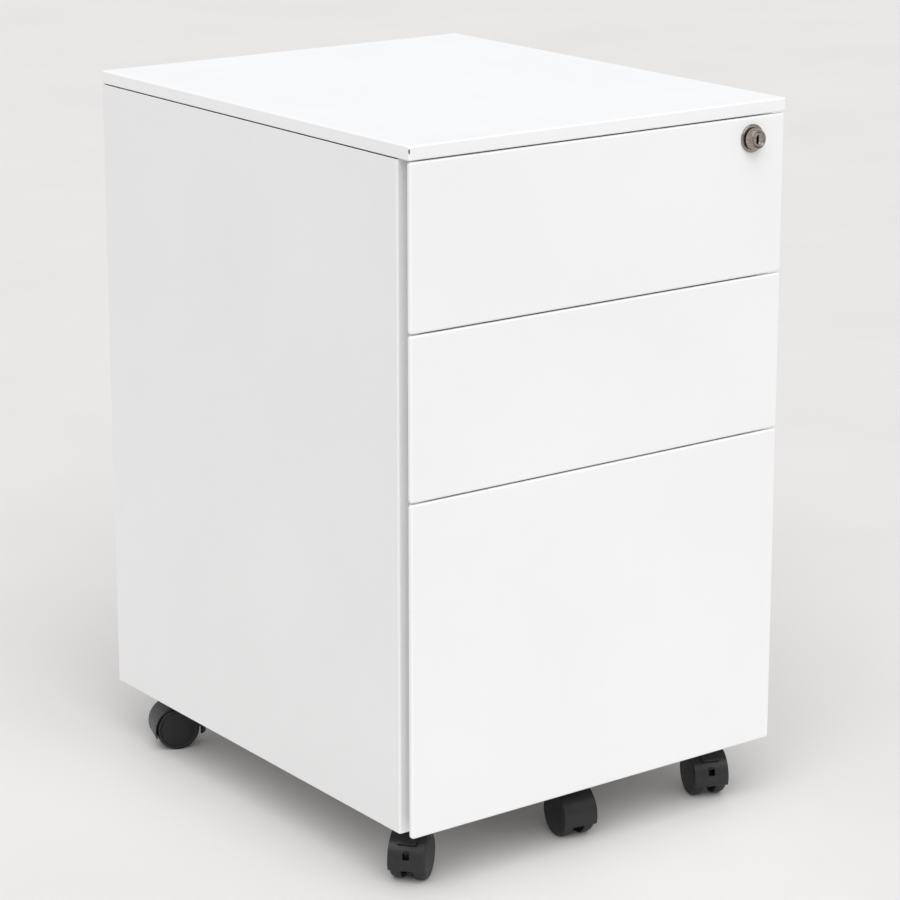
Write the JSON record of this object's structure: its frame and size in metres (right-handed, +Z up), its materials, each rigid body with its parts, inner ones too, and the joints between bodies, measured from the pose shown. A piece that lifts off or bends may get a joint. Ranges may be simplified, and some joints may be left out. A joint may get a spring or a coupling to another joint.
{
  "type": "mobile pedestal filing cabinet",
  "caption": "White steel under-desk pedestal: shallow drawers over a hanging-file drawer, a cylinder lock with a lock bar, and black swivel casters.",
  "frame": {"origin": "on the floor, at the middle of the footprint's box (lock nose to back panel)", "axes": "+Z up, +X to the right as seen from the front, -Y the way the drawers open"},
  "size_m": [0.39, 0.477, 0.625],
  "materials": {
    "front_paint": "satin powder coat",
    "body_paint": "satin powder coat",
    "zinc_steel": "zinc plated",
    "lock_nickel": "polished nickel plate",
    "caster_plastic": "moulded nylon",
    "wheel_plastic": "moulded nylon",
    "grey_plastic": "moulded acetal"
  },
  "bodies": {
    "cabinet": {"side_panel_left": "body_paint", "side_panel_right": "body_paint", "back_panel": "body_paint", "top_plate": "front_paint", "base_pan": "body_paint", "top_rails": "body_paint", "uprights_left": "zinc_steel", "uprights_right": "zinc_steel", "top_screws": "zinc_steel", "slides_outer_top": "zinc_steel", "slides_outer_middle": "zinc_steel", "slides_outer_file": "zinc_steel", "lock_bar_guides": "grey_plastic", "caster_stems": "zinc_steel", "weld_nuts": "zinc_steel"},
    "lock_bar": {"lock_bar": "zinc_steel"},
    "drawer_top": {"drawer_front_top": "front_paint", "front_liner_top": "body_paint", "drawer_tray_top": "body_paint", "slides_inner_top": "zinc_steel", "lock_housing": "lock_nickel", "lock_nut": "zinc_steel"},
    "drawer_middle": {"drawer_front_middle": "front_paint", "front_liner_middle": "body_paint", "drawer_tray_middle": "body_paint", "slides_inner_middle": "zinc_steel"},
    "drawer_file": {"drawer_front_file": "front_paint", "front_liner_file": "body_paint", "drawer_tray_file": "body_paint", "slides_inner_file": "zinc_steel", "hanging_rails": "zinc_steel", "file_caster_bracket": "zinc_steel", "file_caster_stem": "zinc_steel", "file_weld_nut": "zinc_steel"},
    "lock_plug": {"lock_plug": "lock_nickel", "lock_cam": "zinc_steel", "cam_screw": "zinc_steel"},
    "slide_middle_file": {"slides_middle_file": "zinc_steel"},
    "swivel_front_left": {"hood_front_left": "caster_plastic", "axle_front_left": "zinc_steel"},
    "wheel_a_front_left": {"wheel_a_front_left": "wheel_plastic"},
    "wheel_b_front_left": {"wheel_b_front_left": "wheel_plastic"},
    "brake_left": {"brake_lever_left": "caster_plastic"},
    "swivel_front_right": {"hood_front_right": "caster_plastic", "axle_front_right": "zinc_steel"},
    "wheel_a_front_right": {"wheel_a_front_right": "wheel_plastic"},
    "wheel_b_front_right": {"wheel_b_front_right": "wheel_plastic"},
    "brake_right": {"brake_lever_right": "caster_plastic"},
    "swivel_middle": {"hood_middle": "caster_plastic", "axle_middle": "zinc_steel"},
    "wheel_a_middle": {"wheel_a_middle": "wheel_plastic"},
    "wheel_b_middle": {"wheel_b_middle": "wheel_plastic"},
    "swivel_back_left": {"hood_back_left": "caster_plastic", "axle_back_left": "zinc_steel"},
    "wheel_a_back_left": {"wheel_a_back_left": "wheel_plastic"},
    "wheel_b_back_left": {"wheel_b_back_left": "wheel_plastic"},
    "swivel_back_right": {"hood_back_right": "caster_plastic", "axle_back_right": "zinc_steel"},
    "wheel_a_back_right": {"wheel_a_back_right": "wheel_plastic"},
    "wheel_b_back_right": {"wheel_b_back_right": "wheel_plastic"}
  },
  "joints": [
    {"name": "drawer_top_slide", "type": "slide", "parent": "cabinet", "child": "drawer_top", "axis": [0, -1, 0], "range_m": [0, 0.29]},
    {"name": "drawer_middle_slide", "type": "slide", "parent": "cabinet", "child": "drawer_middle", "axis": [0, -1, 0], "range_m": [0, 0.29]},
    {"name": "drawer_file_slide", "type": "slide", "parent": "cabinet", "child": "drawer_file", "axis": [0, -1, 0], "range_m": [0, 0.38]},
    {"name": "slide_middle_file_slide", "type": "slide", "parent": "cabinet", "child": "slide_middle_file", "axis": [0, -1, 0], "range_m": [0, 0.19]},
    {"name": "lock_turn", "type": "hinge", "parent": "drawer_top", "child": "lock_plug", "pos_m": [0.157, -0.2295, 0.5943], "axis": [0, -1, 0], "range_deg": [0, 90]},
    {"name": "lock_bar_lift", "type": "slide", "parent": "cabinet", "child": "lock_bar", "axis": [0, 0, 1], "range_m": [0, 0.008]},
    {"name": "swivel_front_left", "type": "hinge", "parent": "cabinet", "child": "swivel_front_left", "pos_m": [-0.155, -0.1805, 0.02], "axis": [0, 0, 1], "continuous": true},
    {"name": "roll_a_front_left", "type": "hinge", "parent": "swivel_front_left", "child": "wheel_a_front_left", "pos_m": [-0.16573, -0.1895, 0.02], "axis": [0.6428, -0.766, 0], "continuous": true},
    {"name": "roll_b_front_left", "type": "hinge", "parent": "swivel_front_left", "child": "wheel_b_front_left", "pos_m": [-0.16573, -0.1895, 0.02], "axis": [0.6428, -0.766, 0], "continuous": true},
    {"name": "brake_left", "type": "hinge", "parent": "swivel_front_left", "child": "brake_left", "pos_m": [-0.16573, -0.1895, 0.02], "axis": [0.6428, -0.766, 0], "range_deg": [0, 12]},
    {"name": "swivel_front_right", "type": "hinge", "parent": "cabinet", "child": "swivel_front_right", "pos_m": [0.155, -0.1805, 0.02], "axis": [0, 0, 1], "continuous": true},
    {"name": "roll_a_front_right", "type": "hinge", "parent": "swivel_front_right", "child": "wheel_a_front_right", "pos_m": [0.15021, -0.19366, 0.02], "axis": [0.9397, -0.342, 0], "continuous": true},
    {"name": "roll_b_front_right", "type": "hinge", "parent": "swivel_front_right", "child": "wheel_b_front_right", "pos_m": [0.15021, -0.19366, 0.02], "axis": [0.9397, -0.342, 0], "continuous": true},
    {"name": "brake_right", "type": "hinge", "parent": "swivel_front_right", "child": "brake_right", "pos_m": [0.15021, -0.19366, 0.02], "axis": [0.9397, -0.342, 0], "range_deg": [0, 12]},
    {"name": "swivel_middle", "type": "hinge", "parent": "drawer_file", "child": "swivel_middle", "pos_m": [0, -0.1805, 0.02], "axis": [0, 0, 1], "continuous": true},
    {"name": "roll_a_middle", "type": "hinge", "parent": "swivel_middle", "child": "wheel_a_middle", "pos_m": [-0.00243, -0.19429, 0.02], "axis": [0.9848, -0.1736, 0], "continuous": true},
    {"name": "roll_b_middle", "type": "hinge", "parent": "swivel_middle", "child": "wheel_b_middle", "pos_m": [-0.00243, -0.19429, 0.02], "axis": [0.9848, -0.1736, 0], "continuous": true},
    {"name": "swivel_back_left", "type": "hinge", "parent": "cabinet", "child": "swivel_back_left", "pos_m": [-0.155, 0.1785, 0.02], "axis": [0, 0, 1], "continuous": true},
    {"name": "roll_a_back_left", "type": "hinge", "parent": "swivel_back_left", "child": "wheel_a_back_left", "pos_m": [-0.16824, 0.18306, 0.02], "axis": [-0.3256, -0.9455, 0], "continuous": true},
    {"name": "roll_b_back_left", "type": "hinge", "parent": "swivel_back_left", "child": "wheel_b_back_left", "pos_m": [-0.16824, 0.18306, 0.02], "axis": [-0.3256, -0.9455, 0], "continuous": true},
    {"name": "swivel_back_right", "type": "hinge", "parent": "cabinet", "child": "swivel_back_right", "pos_m": [0.155, 0.1785, 0.02], "axis": [0, 0, 1], "continuous": true},
    {"name": "roll_a_back_right", "type": "hinge", "parent": "swivel_back_right", "child": "wheel_a_back_right", "pos_m": [0.14427, 0.1875, 0.02], "axis": [-0.6428, -0.766, 0], "continuous": true},
    {"name": "roll_b_back_right", "type": "hinge", "parent": "swivel_back_right", "child": "wheel_b_back_right", "pos_m": [0.14427, 0.1875, 0.02], "axis": [-0.6428, -0.766, 0], "continuous": true}
  ],
  "couplings": [
    {"joint": "slide_middle_file_slide", "follows": "drawer_file_slide", "ratio": 0.5},
    {"joint": "lock_turn", "follows": "lock_bar_lift", "rad_per_m": 196.35}
  ]
}
